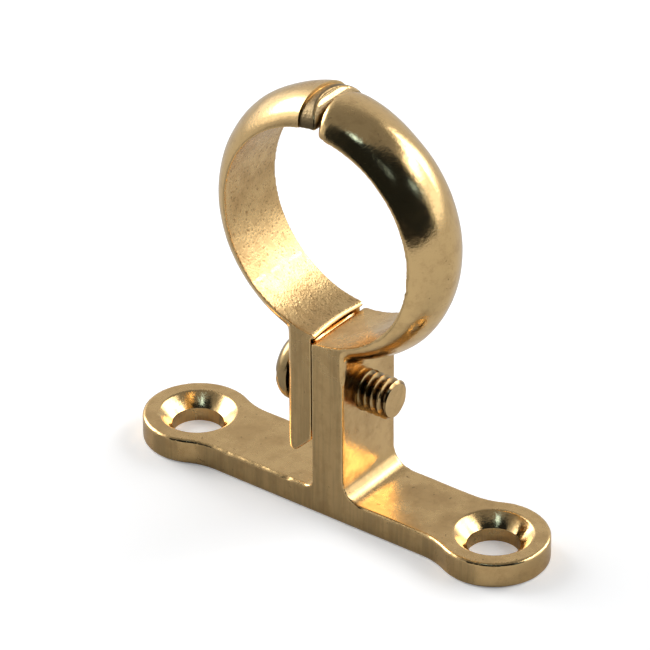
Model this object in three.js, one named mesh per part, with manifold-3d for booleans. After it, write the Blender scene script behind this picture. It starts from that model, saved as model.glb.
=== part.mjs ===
// Cast brass pipe bracket of the school-board pattern, in three pieces: a base plate with
// its upright and fixed half ring, a loose jaw that hooks to the ring's top, and the
// machine screw that pulls the jaw's leg to the upright.
//
// Frame: millimetres, +Z up from the wall, origin at the centre of the base's underside.
// +X runs along the base towards the fixed half ring, and the pipe lies along Y.

import * as THREE from 'three';
import { mergeVertices } from 'three/addons/utils/BufferGeometryUtils.js';
import Module from 'manifold-3d';

// ---------------------------------------------------------------- driving dimensions

// Base plate
const BASE_THICKNESS = 3.4;
const HOLE_SPACING = 45;
const HOLE_DIAMETER = 6.5;
const COUNTERSINK_DIAMETER = 9.7;
const COUNTERSINK_DEPTH = 1.6;
const PAD_RADIUS = 6.9;
const WAIST_WIDTH = 10.6;
const NECK_RADIUS = 9;

// Ring
const BORE_DIAMETER = 28;
const RING_WIDTH = 10;
const RING_ROUNDNESS = 1.65;
const FIXED_CROWN = 3.3;
const JAW_CROWN = 3.4;

// Upright
const UPRIGHT_LEFT = -0.75;
const UPRIGHT_THICKNESS = 4.7;
const UPRIGHT_WIDTH = 10.6;
const FOOT_FILLET_LEFT = 1;
const FOOT_FILLET_RIGHT = 2.6;

// The fixed half's bore centre sits a little left of the base's middle, and the jaw, pulled
// in on an empty bore, sits a little right of it and higher.
const FIXED_OFFSET_X = -1;
const JAW_OFFSET_X = 0.3;
const JAW_LIFT = 0.85;

// Top joint: the fixed half's end face, the jaw's stepped tongue and the hook between them
const FIXED_END_X = 0.35;
const TONGUE_LENGTH = 2.45;
const TONGUE_STEP = 0.5;
const TONGUE_GAP = 0.5;
const HOOK_THICKNESS = 1;
const HOOK_WIDTH = 3;
const HOOK_REACH = 0.4;
const HOOK_RISE = 1.6;
const HOOK_CLEARANCE = 0.3;

// Jaw leg
const JAW_GAP = 0.3;
const LEG_THICKNESS = 3.95;
const LEG_CORNER = 1.4;
const LEG_END_CLEARANCE = 4.2;
const LEG_BELOW_SCREW = 8.9;
const LEG_END_CHAMFER = 2.4;

// Clamp screw
const SCREW_DIAMETER = 5.1;
const SCREW_BELOW_BORE = 7.5;
const SCREW_TIP_CHAMFER = 0.35;
const SCREW_PROTRUSION = 4.05;
const HEAD_DIAMETER = 9;
const HEAD_HEIGHT = 3.1;
const HEAD_RIM = 0.7;
const HEAD_GAP = 0.3;
const SLOT_WIDTH = 1.3;
const SLOT_DEPTH = 1.5;
const THREAD_CLEARANCE = 0.3;
const LEG_HOLE_CLEARANCE = 0.9;

// Facets
const RING_STEPS = 96;
const SECTION_STEPS = 12;
const ROUND_STEPS = 40;
const FILLET_STEPS = 6;

// ------------------------------------------------------------------- derived places

const boreRadius = BORE_DIAMETER / 2;
const legEndHeight = BASE_THICKNESS + LEG_END_CLEARANCE;
const screwHeight = legEndHeight + LEG_BELOW_SCREW;
const boreHeight = screwHeight + SCREW_BELOW_BORE + boreRadius;
const uprightRight = UPRIGHT_LEFT + UPRIGHT_THICKNESS;
const legInner = UPRIGHT_LEFT - JAW_GAP;
const legOuter = legInner - LEG_THICKNESS;
const jawCentreHeight = boreHeight + JAW_LIFT;
const tongueEndX = FIXED_END_X - TONGUE_GAP;
const domeEndX = tongueEndX - TONGUE_LENGTH;
const hookX = FIXED_END_X + HOOK_REACH;
const hookZ = boreHeight + boreRadius + HOOK_RISE;
const overcut = 2;
const joinOverlap = 1;

// ------------------------------------------------------------------------- helpers

const wasm = await Module();
wasm.setup();

/** Turns a closed three.js geometry into a solid that can be joined and cut. */
function solid(geometry) {
  const bare = geometry.index ? geometry.toNonIndexed() : geometry.clone();
  bare.deleteAttribute('normal');
  bare.deleteAttribute('uv');
  const merged = mergeVertices(bare, 1e-4);
  const triangles = dropSlivers(merged.index.array);
  return new wasm.Manifold(new wasm.Mesh({
    numProp: 3,
    vertProperties: new Float32Array(merged.attributes.position.array),
    triVerts: triangles,
  }));
}

/** Leaves out triangles that lost their area when shared points were merged. */
function dropSlivers(indices) {
  const kept = [];
  for (let i = 0; i < indices.length; i += 3) {
    const [a, b, c] = [indices[i], indices[i + 1], indices[i + 2]];
    if (a !== b && b !== c && c !== a) kept.push(a, b, c);
  }
  return new Uint32Array(kept);
}

/** Turns a solid back into a geometry with flat-shaded normals. */
function geometryOf(body) {
  const mesh = body.getMesh();
  const geometry = new THREE.BufferGeometry();
  geometry.setAttribute('position', new THREE.BufferAttribute(mesh.vertProperties, 3));
  geometry.setIndex(new THREE.BufferAttribute(mesh.triVerts, 1));
  const flat = geometry.toNonIndexed();
  flat.computeVertexNormals();
  return flat;
}

/** A block from its low corner to its high corner. */
function block(low, high) {
  const size = high.map((value, i) => value - low[i]);
  const centre = high.map((value, i) => (value + low[i]) / 2);
  return solid(new THREE.BoxGeometry(...size).translate(...centre));
}

/** A shape drawn in X and Z, pulled along Y to the given width about the middle plane. */
function acrossWidth(shape, width) {
  const options = { depth: width, bevelEnabled: false, curveSegments: FILLET_STEPS };
  const geometry = new THREE.ExtrudeGeometry(shape, options);
  return solid(geometry.rotateX(Math.PI / 2).translate(0, width / 2, 0));
}

/** A round bar along Y. */
function barAlongY(radius, length, x, z, steps = ROUND_STEPS) {
  return solid(new THREE.CylinderGeometry(radius, radius, length, steps).translate(x, 0, z));
}

/** A round bar along X between two places. */
function barAlongX(radius, fromX, toX, z) {
  const geometry = new THREE.CylinderGeometry(radius, radius, toX - fromX, ROUND_STEPS);
  geometry.rotateZ(Math.PI / 2);
  return solid(geometry.translate((fromX + toX) / 2, 0, z));
}

/** A whole ring of the domed section: flat on the bore, a superellipse outside. */
function domedRing(radius, width, crown, x, z) {
  const profile = [];
  for (let i = 0; i <= SECTION_STEPS; i += 1) {
    const across = -Math.cos((Math.PI * i) / SECTION_STEPS);
    const rise = (1 - Math.abs(across) ** RING_ROUNDNESS) ** (1 / RING_ROUNDNESS);
    profile.push(new THREE.Vector2(radius + crown * rise, (across * width) / 2));
  }
  profile.push(profile[0].clone());
  return solid(new THREE.LatheGeometry(profile, RING_STEPS).translate(x, 0, z));
}

/** The slab of space between two X places, far past the object's other sides. */
function slab(fromX, toX, fromZ) {
  const reach = 100;
  return block([fromX, -reach, fromZ], [toX, reach, reach]);
}

// ----------------------------------------------------------------------- base plate

/** The plate's outline: two round pads run into a straight waist by hollow necks. */
function plateOutline() {
  const pad = HOLE_SPACING / 2;
  const neckY = WAIST_WIDTH / 2 + NECK_RADIUS;
  const reach = Math.sqrt((PAD_RADIUS + NECK_RADIUS) ** 2 - neckY ** 2);
  const neckX = pad - reach;
  const lean = Math.atan2(neckY, reach);
  const quarter = Math.PI / 2;
  const outline = new THREE.Shape();
  outline.absarc(pad, 0, PAD_RADIUS, lean - Math.PI, Math.PI - lean, false);
  outline.absarc(neckX, neckY, NECK_RADIUS, -lean, -quarter, true);
  outline.absarc(-neckX, neckY, NECK_RADIUS, -quarter, lean - Math.PI, true);
  outline.absarc(-pad, 0, PAD_RADIUS, lean, 2 * Math.PI - lean, false);
  outline.absarc(-neckX, -neckY, NECK_RADIUS, Math.PI - lean, quarter, true);
  outline.absarc(neckX, -neckY, NECK_RADIUS, quarter, lean, true);
  return outline;
}

function plate() {
  const options = { depth: BASE_THICKNESS, bevelEnabled: false, curveSegments: ROUND_STEPS / 2 };
  return solid(new THREE.ExtrudeGeometry(plateOutline(), options));
}

/** One countersunk screw hole, as the solid that is cut away. */
function countersunkHole(x) {
  const hole = HOLE_DIAMETER / 2;
  const slope = (COUNTERSINK_DIAMETER / 2 - hole) / COUNTERSINK_DEPTH;
  const profile = [
    new THREE.Vector2(0, -overcut),
    new THREE.Vector2(hole, -overcut),
    new THREE.Vector2(hole, BASE_THICKNESS - COUNTERSINK_DEPTH),
    new THREE.Vector2(COUNTERSINK_DIAMETER / 2 + slope * overcut, BASE_THICKNESS + overcut),
    new THREE.Vector2(0, BASE_THICKNESS + overcut),
  ];
  const geometry = new THREE.LatheGeometry(profile, ROUND_STEPS);
  return solid(geometry.rotateX(Math.PI / 2).translate(x, 0, 0));
}

// -------------------------------------------------------------------------- upright

/** The upright with its two foot fillets, up to where the bore will trim it. */
function upright() {
  const fromBore = uprightRight - FIXED_OFFSET_X;
  const top = boreHeight - Math.sqrt(boreRadius ** 2 - fromBore ** 2) + joinOverlap / 2;
  const foot = BASE_THICKNESS;
  const outline = new THREE.Shape();
  outline.moveTo(UPRIGHT_LEFT - FOOT_FILLET_LEFT, foot - joinOverlap);
  outline.lineTo(uprightRight + FOOT_FILLET_RIGHT, foot - joinOverlap);
  outline.lineTo(uprightRight + FOOT_FILLET_RIGHT, foot);
  outline.absarc(uprightRight + FOOT_FILLET_RIGHT, foot + FOOT_FILLET_RIGHT,
    FOOT_FILLET_RIGHT, -Math.PI / 2, -Math.PI, true);
  outline.lineTo(uprightRight, top);
  outline.lineTo(UPRIGHT_LEFT, top);
  outline.absarc(UPRIGHT_LEFT - FOOT_FILLET_LEFT, foot + FOOT_FILLET_LEFT,
    FOOT_FILLET_LEFT, 0, -Math.PI / 2, true);
  outline.closePath();
  return acrossWidth(outline, UPRIGHT_WIDTH);
}

function fixedHalfRing() {
  const ring = domedRing(boreRadius, RING_WIDTH, FIXED_CROWN, FIXED_OFFSET_X, boreHeight);
  const upper = ring.intersect(slab(FIXED_END_X, 100, boreHeight));
  const lower = ring.subtract(slab(-100, UPRIGHT_LEFT, -100));
  return upper.add(lower.subtract(slab(-100, 100, boreHeight)));
}

/** The socket in the fixed half's end face that the jaw's hook turns in. */
function hookSocket() {
  const radius = HOOK_THICKNESS / 2 + HOOK_CLEARANCE;
  const halfWidth = HOOK_WIDTH / 2 + HOOK_CLEARANCE;
  const mouth = block([FIXED_END_X - overcut, -halfWidth, hookZ - radius],
    [hookX, halfWidth, hookZ + radius]);
  return mouth.add(barAlongY(radius, 2 * halfWidth, hookX, hookZ, ROUND_STEPS / 2));
}

function bracketBase() {
  const threadHole = SCREW_DIAMETER / 2 + THREAD_CLEARANCE;
  const boreLength = Math.max(UPRIGHT_WIDTH, RING_WIDTH) + 2 * overcut;
  return plate()
    .add(upright().subtract(barAlongY(boreRadius, boreLength, FIXED_OFFSET_X, boreHeight,
      RING_STEPS)))
    .add(fixedHalfRing())
    .subtract(countersunkHole(-HOLE_SPACING / 2))
    .subtract(countersunkHole(HOLE_SPACING / 2))
    .subtract(barAlongX(threadHole, UPRIGHT_LEFT - overcut, uprightRight + overcut, screwHeight))
    .subtract(hookSocket());
}

// -------------------------------------------------------------------------- the jaw

/** The jaw's half ring, its dome ending short of the tongue at the top. */
function jawHalfRing() {
  const ring = domedRing(boreRadius, RING_WIDTH, JAW_CROWN, JAW_OFFSET_X, jawCentreHeight);
  const upper = ring.intersect(slab(-100, domeEndX, jawCentreHeight));
  const lower = ring.intersect(slab(-100, legInner, -100));
  return upper.add(lower.subtract(slab(-100, 100, jawCentreHeight)));
}

/** The stepped-down tongue past the dome's end. */
function jawTongue() {
  const ring = domedRing(boreRadius, RING_WIDTH - 2 * TONGUE_STEP, JAW_CROWN - TONGUE_STEP,
    JAW_OFFSET_X, jawCentreHeight);
  return ring.intersect(slab(domeEndX - joinOverlap, tongueEndX, jawCentreHeight));
}

/** The rounded hook on the tongue's end, centred on the line that the jaw turns about. */
function jawHook() {
  const half = HOOK_WIDTH / 2;
  const radius = HOOK_THICKNESS / 2;
  const shank = block([tongueEndX - joinOverlap, -half, hookZ - radius],
    [hookX, half, hookZ + radius]);
  return shank.add(barAlongY(radius, HOOK_WIDTH, hookX, hookZ, ROUND_STEPS / 2));
}

/** The leg's plan section: flat towards the upright, rounded on its two outer corners. */
function legSection() {
  const half = RING_WIDTH / 2;
  const section = new THREE.Shape();
  section.moveTo(legInner, -half);
  section.lineTo(legInner, half);
  section.absarc(legOuter + LEG_CORNER, half - LEG_CORNER, LEG_CORNER,
    Math.PI / 2, Math.PI, false);
  section.absarc(legOuter + LEG_CORNER, LEG_CORNER - half, LEG_CORNER,
    Math.PI, 1.5 * Math.PI, false);
  section.closePath();
  return section;
}

/** The corner that is cut off the leg's lower inner edge. */
function legEndCut() {
  const outline = new THREE.Shape();
  outline.moveTo(legInner - LEG_END_CHAMFER, legEndHeight);
  outline.lineTo(legInner - LEG_END_CHAMFER, legEndHeight - overcut);
  outline.lineTo(legInner + overcut, legEndHeight - overcut);
  outline.lineTo(legInner + overcut, legEndHeight + LEG_END_CHAMFER + overcut);
  outline.closePath();
  return acrossWidth(outline, RING_WIDTH + 2 * overcut);
}

function jawLeg() {
  const fromBore = JAW_OFFSET_X - legOuter;
  const top = jawCentreHeight - Math.sqrt(boreRadius ** 2 - fromBore ** 2);
  const options = {
    depth: top - legEndHeight, bevelEnabled: false, curveSegments: FILLET_STEPS,
  };
  const geometry = new THREE.ExtrudeGeometry(legSection(), options);
  const column = solid(geometry.translate(0, 0, legEndHeight));
  const bore = barAlongY(boreRadius, RING_WIDTH + 2 * overcut, JAW_OFFSET_X, jawCentreHeight,
    RING_STEPS);
  return column.subtract(bore).subtract(legEndCut());
}

function clampJaw() {
  const holeRadius = SCREW_DIAMETER / 2 + LEG_HOLE_CLEARANCE;
  const hole = barAlongX(holeRadius, legOuter - overcut, legInner + overcut, screwHeight);
  return jawHalfRing().add(jawTongue()).add(jawHook()).add(jawLeg()).subtract(hole);
}

// ------------------------------------------------------------------------ the screw

/** The screw turned about its own axis, head towards -X, with its slot cut. */
function clampScrew() {
  const seat = legOuter - HEAD_GAP;
  const crown = seat - HEAD_HEIGHT;
  const tip = uprightRight + SCREW_PROTRUSION;
  const shank = SCREW_DIAMETER / 2;
  const head = HEAD_DIAMETER / 2;
  const domeHeight = HEAD_HEIGHT - HEAD_RIM;
  const profile = [new THREE.Vector2(0, tip)];
  profile.push(new THREE.Vector2(shank - SCREW_TIP_CHAMFER, tip));
  profile.push(new THREE.Vector2(shank, tip - SCREW_TIP_CHAMFER));
  profile.push(new THREE.Vector2(shank, seat));
  profile.push(new THREE.Vector2(head, seat));
  for (let i = 0; i < FILLET_STEPS; i += 1) {
    const angle = (Math.PI / 2) * (i / FILLET_STEPS);
    const height = seat - HEAD_RIM - domeHeight * Math.sin(angle);
    profile.push(new THREE.Vector2(head * Math.cos(angle), height));
  }
  profile.push(new THREE.Vector2(0, crown));
  const turned = new THREE.LatheGeometry(profile.reverse(), ROUND_STEPS);
  turned.rotateZ(-Math.PI / 2).translate(0, 0, screwHeight);
  const slot = block([crown - overcut, -head - overcut, screwHeight - SLOT_WIDTH / 2],
    [crown + SLOT_DEPTH, head + overcut, screwHeight + SLOT_WIDTH / 2]);
  return solid(turned).subtract(slot);
}

// ------------------------------------------------------------------------- assembly

const castBrass = new THREE.MeshStandardMaterial({
  name: 'cast_brass', color: 0xb8935a, roughness: 0.32, metalness: 1,
});
const jawBrass = new THREE.MeshStandardMaterial({
  name: 'jaw_brass', color: 0xc09a5e, roughness: 0.3, metalness: 1,
});
const screwBrass = new THREE.MeshStandardMaterial({
  name: 'screw_brass', color: 0xc8a468, roughness: 0.26, metalness: 1,
});

/** A named piece of the bracket. */
function piece(name, body, material) {
  const mesh = new THREE.Mesh(geometryOf(body), material);
  mesh.name = name;
  return mesh;
}

const bracket = new THREE.Group();
bracket.name = 'pipe_bracket';
bracket.add(piece('bracket_base', bracketBase(), castBrass));
bracket.add(piece('clamp_jaw', clampJaw(), jawBrass));
bracket.add(piece('clamp_screw', clampScrew(), screwBrass));

export default bracket;
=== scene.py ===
"""A cast brass pipe bracket: the bracket casting, its loose jaw and the clamp screw.

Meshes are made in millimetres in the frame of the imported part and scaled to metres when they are
finished. +X runs along the base, the pipe lies along Y, and +Z points out of the wall.
"""

import math
import random

import bmesh
import bpy
from mathutils import Matrix, Vector, noise


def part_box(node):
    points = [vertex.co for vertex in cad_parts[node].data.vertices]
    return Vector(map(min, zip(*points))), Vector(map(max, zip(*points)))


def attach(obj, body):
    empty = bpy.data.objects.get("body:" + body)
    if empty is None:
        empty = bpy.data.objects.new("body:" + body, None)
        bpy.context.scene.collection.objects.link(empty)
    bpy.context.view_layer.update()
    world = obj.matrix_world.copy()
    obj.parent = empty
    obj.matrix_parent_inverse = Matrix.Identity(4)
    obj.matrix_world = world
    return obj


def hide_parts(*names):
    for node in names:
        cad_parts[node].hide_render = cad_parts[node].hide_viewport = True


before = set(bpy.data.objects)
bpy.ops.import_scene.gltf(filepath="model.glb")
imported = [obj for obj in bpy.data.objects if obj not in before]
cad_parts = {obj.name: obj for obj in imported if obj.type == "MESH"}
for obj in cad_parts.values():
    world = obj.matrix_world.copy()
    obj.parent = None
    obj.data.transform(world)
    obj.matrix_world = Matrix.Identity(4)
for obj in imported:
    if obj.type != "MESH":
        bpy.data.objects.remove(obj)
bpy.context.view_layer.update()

MM = 0.001
AXIS_X = Vector((1, 0, 0))
AXIS_Y = Vector((0, 1, 0))
AXIS_Z = Vector((0, 0, 1))


def box_mm(node):
    """The lowest and highest corners of a node, in millimetres."""
    low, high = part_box(node)
    return low / MM, high / MM


_, BASE_HIGH = box_mm("bracket_base")
JAW_LOW, JAW_HIGH = box_mm("clamp_jaw")
SCREW_LOW, SCREW_HIGH = box_mm("clamp_screw")

# Base plate
PLATE_THICKNESS = 3.4
PAD_RADIUS = BASE_HIGH.y
PAD_X = BASE_HIGH.x - PAD_RADIUS
WAIST_HALF = 5.3
NECK_RADIUS = 9.0
HOLE_RADIUS = 3.25
COUNTERSINK_RADIUS = 4.85
COUNTERSINK_DEPTH = 1.6
RIM_BREAK = 0.12

# Upright
UPRIGHT_LEFT = -0.75
UPRIGHT_RIGHT = 3.95
FOOT_FILLET_LEFT = 1.0
FOOT_FILLET_RIGHT = 2.6
UPRIGHT_CORNER = 0.45

# Ring
BORE_RADIUS = 14.0
RING_HALF = JAW_HIGH.y
FIXED_CENTRE = Vector((-1.0, 0, 38.0))
FIXED_CROWN = 3.3
FIXED_END = -0.05
FIXED_END_BEND = 0.09
FIXED_END_ROUND = 0.75
JAW_CENTRE = Vector((0.3, 0, 38.85))
JAW_CROWN = 3.4
JAW_END_CROWN = 3.3
DOME_END = -2.6
DOME_END_LEAN = 0.2
TONGUE_END = -0.3
TONGUE_END_BEND = 0.23
TONGUE_END_ROUND = 0.18
TONGUE_STEP = 0.42
ROUNDNESS = 1.65
END_ROUNDNESS = 2.15
END_FADE = math.radians(35)

# Leg
LEG_INNER = -1.05
LEG_OUTER = -5.0
LEG_CORNER = 1.4
LEG_CHAMFER = 2.4
LIP_REACH = -0.45
LIP_ROUND = 0.5
LIP_BOW = 0.35

# Screw
SCREW_Z = (SCREW_LOW.z + SCREW_HIGH.z) / 2
SCREW_TIP = SCREW_HIGH.x
HEAD_RADIUS = SCREW_HIGH.y
HEAD_SEAT = LEG_OUTER - 0.3
HEAD_CROWN = SCREW_LOW.x
HEAD_RIM = 0.7
SLOT_WIDTH = 1.3
SLOT_DEPTH = 1.5
THREAD_RADIUS = 2.55
THREAD_ROOT = 1.98
THREAD_PITCH = 1.0
THREAD_START = -4.6
TIP_CHAMFER = 0.4
TAPPED_RADIUS = 2.6
LEG_HOLE_RADIUS = 3.45

# Cuts and edges
OVERCUT = 2.0
EDGE_ROUND = 0.3
BORE_CUT_REACH = 20
END_CUT_REACH = 30
END_CUT_LOW, END_CUT_HIGH = -2.0, 6.0
END_CUT_STEPS = 24
CLOSE = 1e-4

# How finely round things are divided
BORE_SIDES = 240
TURNED_SIDES = 96
COUNTERSINK_SIDES = 128
SECTION_SIDES = 48
RING_STEPS = 300
TONGUE_STEPS = 90
HEAD_STEPS = 14
THREAD_STEPS = 64

# Casting skin: grain of the remesh and rounds of smoothing
CASTING_SKIN = (0.2, 3)
JAW_SKIN = (0.15, 3)
TONGUE_SKIN = (0.09, 2)

# Hand finishing: the size of its waves and their depth
CASTING_WAVES = (4.5, 0.03)
JAW_WAVES = (4.0, 0.03)

# Where the ring runs into the upright and the leg, as spans of X and Z
UPRIGHT_ROOT = ((3.5, 6.2), (20, 25.2))
LEG_ROOT = ((-7.2, -4.5), (21, 27))

# Rounds of smoothing for what is rounded more than the rest
UPRIGHT_ROOT_ROUNDS = 14
RING_END_ROUNDS = 10
LEG_ROOT_ROUNDS = 20
LEG_END_ROUNDS = 12

# Knocks on the plate's front edge
KNOCK_COUNT = 22
KNOCK_SPAN = (-16.5, -3.5)
KNOCK_SIZES = (0.2, 0.45)
KNOCK_DEPTHS = (0.02, 0.09)
KNOCK_LENGTHENING = 0.4
KNOCK_WAY = Vector((0, 0.7, -0.7))


# ------------------------------------------------------------------------- mesh helpers


def piece_from(bm, name):
    """A new object, still in millimetres, from a bmesh with its faces turned outwards."""
    bmesh.ops.remove_doubles(bm, verts=bm.verts[:], dist=CLOSE)
    bmesh.ops.recalc_face_normals(bm, faces=bm.faces[:])
    mesh = bpy.data.meshes.new(name)
    bm.to_mesh(mesh)
    bm.free()
    made = bpy.data.objects.new(name, mesh)
    bpy.context.scene.collection.objects.link(made)
    return made


def settle(piece):
    """Puts a piece's modifiers into its mesh."""
    graph = bpy.context.evaluated_depsgraph_get()
    made = bpy.data.meshes.new_from_object(piece.evaluated_get(graph))
    old = piece.data
    piece.modifiers.clear()
    piece.data = made
    bpy.data.meshes.remove(old)


def combine(piece, operation, tools, solver="EXACT"):
    """Joins tools to a piece, or cuts them from it. The tools are used up."""
    for tool in tools:
        step = piece.modifiers.new("combine", "BOOLEAN")
        step.operation = operation
        step.solver = solver
        step.object = tool
        settle(piece)
        bpy.data.objects.remove(tool)


def line_to(bm, vert, point):
    """Draws a straight line from a vertex."""
    made = bmesh.ops.extrude_vert_indiv(bm, verts=[vert])["verts"][0]
    made.co = point
    return made


def lines_to(bm, vert, points):
    """Draws straight lines from a vertex through points."""
    for point in points:
        vert = line_to(bm, vert, point)
    return vert


def arc_to(bm, vert, centre, axis, degrees, steps):
    """Draws an arc from a vertex about a centre."""
    spun = bmesh.ops.spin(
        bm, geom=[vert], cent=centre, axis=axis, dvec=(0, 0, 0),
        angle=math.radians(degrees), steps=steps, use_duplicate=False)
    return [g for g in spun["geom_last"] if isinstance(g, bmesh.types.BMVert)][0]


def pull_outline(bm, vector, edge_round=0.0):
    """Closes the drawn outline with a face and pulls it into a solid, its two rims rounded."""
    bmesh.ops.remove_doubles(bm, verts=bm.verts[:], dist=CLOSE)
    bmesh.ops.contextual_create(bm, geom=bm.edges[:])
    pulled = bmesh.ops.extrude_face_region(bm, geom=bm.faces[:])
    moved = [g for g in pulled["geom"] if isinstance(g, bmesh.types.BMVert)]
    bmesh.ops.translate(bm, verts=moved, vec=vector)
    if edge_round:
        way = Vector(vector).normalized()
        rims = [e for e in bm.edges if abs((e.verts[1].co - e.verts[0].co).dot(way)) < 1e-3]
        bmesh.ops.bevel(
            bm, geom=rims, offset=edge_round, offset_type="OFFSET", segments=4, profile=0.5,
            affect="EDGES", clamp_overlap=True, material=-1)


def block(low, high):
    """A block between two corners."""
    bm = bmesh.new()
    low, high = Vector(low), Vector(high)
    size = high - low
    middle = Matrix.Translation((low + high) / 2)
    bmesh.ops.create_cube(bm, size=1, matrix=middle @ Matrix.Diagonal((*size, 1)))
    return piece_from(bm, "block")


def bar(radius, start, end, segments=TURNED_SIDES):
    """A round bar between two points."""
    bm = bmesh.new()
    start, end = Vector(start), Vector(end)
    along = end - start
    turn = along.to_track_quat("Z", "Y").to_matrix().to_4x4()
    place = Matrix.Translation((start + end) / 2) @ turn
    bmesh.ops.create_cone(
        bm, cap_ends=True, segments=segments, radius1=radius, radius2=radius,
        depth=along.length, matrix=place)
    return piece_from(bm, "bar")


def bore_tool(centre):
    """The round of the pipe, to cut a bore."""
    reach = AXIS_Y * BORE_CUT_REACH
    return bar(BORE_RADIUS, centre - reach, centre + reach, BORE_SIDES)


def turned(profile, axis, origin, segments, name):
    """A solid turned about an axis from a profile of (along, radius) points."""
    bm = bmesh.new()
    side = AXIS_Y if abs(axis.y) < 0.5 else AXIS_X
    points = [origin + axis * along + side * radius for along, radius in profile]
    lines_to(bm, bm.verts.new(points[0]), points[1:])
    bmesh.ops.spin(
        bm, geom=bm.verts[:] + bm.edges[:], cent=origin, axis=axis, dvec=(0, 0, 0),
        angle=2 * math.pi, steps=segments, use_merge=True, use_duplicate=False)
    return piece_from(bm, name)


def fade(value, full, none):
    """1 at full, 0 at none, and smooth between them."""
    share = min(max((value - none) / (full - none), 0), 1)
    return share * share * (3 - 2 * share)


def cast_skin(piece, grain, rounds):
    """Rounds every edge a little, as a casting's skin does."""
    skin = piece.modifiers.new("skin", "REMESH")
    skin.mode = "VOXEL"
    skin.voxel_size = grain
    soften = piece.modifiers.new("soften", "SMOOTH")
    soften.factor = 0.5
    soften.iterations = rounds
    settle(piece)


def soften_where(piece, chosen, rounds):
    """Runs one surface into the next where the chosen places are."""
    bm = bmesh.new()
    bm.from_mesh(piece.data)
    verts = [v for v in bm.verts if chosen(v.co)]
    for _ in range(rounds):
        bmesh.ops.smooth_vert(
            bm, verts=verts, factor=0.5, use_axis_x=True, use_axis_y=True, use_axis_z=True)
    bm.to_mesh(piece.data)
    bm.free()


def move_verts(piece, shift):
    """Moves each vertex by what shift says for its place and normal."""
    bm = bmesh.new()
    bm.from_mesh(piece.data)
    bm.normal_update()
    shifts = [shift(vert.co, vert.normal) for vert in bm.verts]
    for vert, moved in zip(bm.verts, shifts):
        vert.co += moved
    bm.to_mesh(piece.data)
    bm.free()


def waviness(place, size, depth):
    """How far hand finishing left the surface from true."""
    return noise.noise(place / size) * depth


def finish_mesh(piece, sharp_degrees=32):
    """Scales a piece to metres and shades it, with sharp edges where it turns sharply."""
    bm = bmesh.new()
    bm.from_mesh(piece.data)
    bmesh.ops.scale(bm, vec=(MM, MM, MM), verts=bm.verts[:])
    sharp = math.radians(sharp_degrees)
    for face in bm.faces:
        face.smooth = True
    for edge in bm.edges:
        edge.smooth = edge.calc_face_angle(0) < sharp
    bm.to_mesh(piece.data)
    bm.free()


# ------------------------------------------------------------------------------- ring


def section_rise(across, roundness):
    """The dome's height over the bore, from 0 at the ring's edge to 1 on its crown."""
    return max(1 - abs(across) ** roundness, 0) ** (1 / roundness)


def domed_arc(centre, side, crown_at, start, end, half_at, roundness_at, inset_at,
              steps=RING_STEPS):
    """Part of a ring, flat inside the bore and domed outside.

    The start and end are in degrees from the top, towards +X where side is 1 and -X where it is
    -1. The crown, half width and roundness are functions of the angle in radians.
    """
    inside = BORE_RADIUS - 1
    bm = bmesh.new()
    bmesh.ops.create_circle(bm, segments=SECTION_SIDES, radius=1)
    for vert in bm.verts:
        across, rise = vert.co.x, vert.co.y
        radius = BORE_RADIUS + rise if rise > -1e-6 else inside
        vert.co = centre + Vector((0, across * RING_HALF, radius))
    turn = Matrix.Rotation(math.radians(start * side), 3, "Y")
    bmesh.ops.rotate(bm, verts=bm.verts[:], cent=centre, matrix=turn)
    first = bm.edges[:]
    spun = bmesh.ops.spin(
        bm, geom=bm.verts[:] + first, cent=centre, axis=AXIS_Y, dvec=(0, 0, 0),
        angle=math.radians((end - start) * side), steps=steps, use_duplicate=False)
    last = [g for g in spun["geom_last"] if isinstance(g, bmesh.types.BMEdge)]
    bmesh.ops.contextual_create(bm, geom=first)
    bmesh.ops.contextual_create(bm, geom=last)
    for vert in bm.verts:
        away = vert.co - centre
        angle = math.atan2(side * away.x, away.z) % (2 * math.pi)
        across = vert.co.y / RING_HALF
        flat = Vector((away.x, 0, away.z))
        outwards = flat.normalized()
        radius = flat.length
        inset = 0
        if radius > BORE_RADIUS - 1e-3:
            rise = section_rise(across, roundness_at(angle))
            inset = inset_at(outwards * (BORE_RADIUS + crown_at(angle) * rise))
            radius = BORE_RADIUS + (crown_at(angle) - inset) * rise
        elif away.z > 0:
            inset = inset_at(outwards * BORE_RADIUS)
        vert.co = centre + outwards * radius
        vert.co.y = across * (half_at(angle) - inset)
    return piece_from(bm, "ring")


def set_back(rise, lean, bend):
    """How far an end face has leaned back at a height above the bore."""
    return lean * rise + bend * max(rise, 0) ** 2


def rounded_end(end, lean, bend, side, radius):
    """How far the section draws in near an end face, to round the face's edges."""
    def inset(away):
        if away.z < 0:
            return 0
        along = (away.x - end + set_back(away.z - BORE_RADIUS, lean, bend)) * side
        depth = radius - min(max(along, 0), radius)
        return radius - math.sqrt(radius ** 2 - depth ** 2)
    return inset


def end_cut(ring, centre, end, lean, bend, side):
    """Cuts a ring's top end, its face leaning or curving back over its height."""
    low, high = END_CUT_LOW, END_CUT_HIGH

    def at(x, rise):
        return Vector((x, -RING_HALF - OVERCUT, centre.z + BORE_RADIUS + rise))

    rises = [low + (high - low) * i / END_CUT_STEPS for i in range(END_CUT_STEPS + 1)]
    points = [at(end - set_back(rise, lean, bend), rise) for rise in rises]
    points += [at(end - side * END_CUT_REACH, high), at(end - side * END_CUT_REACH, low), points[0]]
    bm = bmesh.new()
    lines_to(bm, bm.verts.new(points[0]), points[1:])
    pull_outline(bm, AXIS_Y * 2 * (RING_HALF + OVERCUT))
    combine(ring, "DIFFERENCE", [piece_from(bm, "end")], "MANIFOLD")


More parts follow.
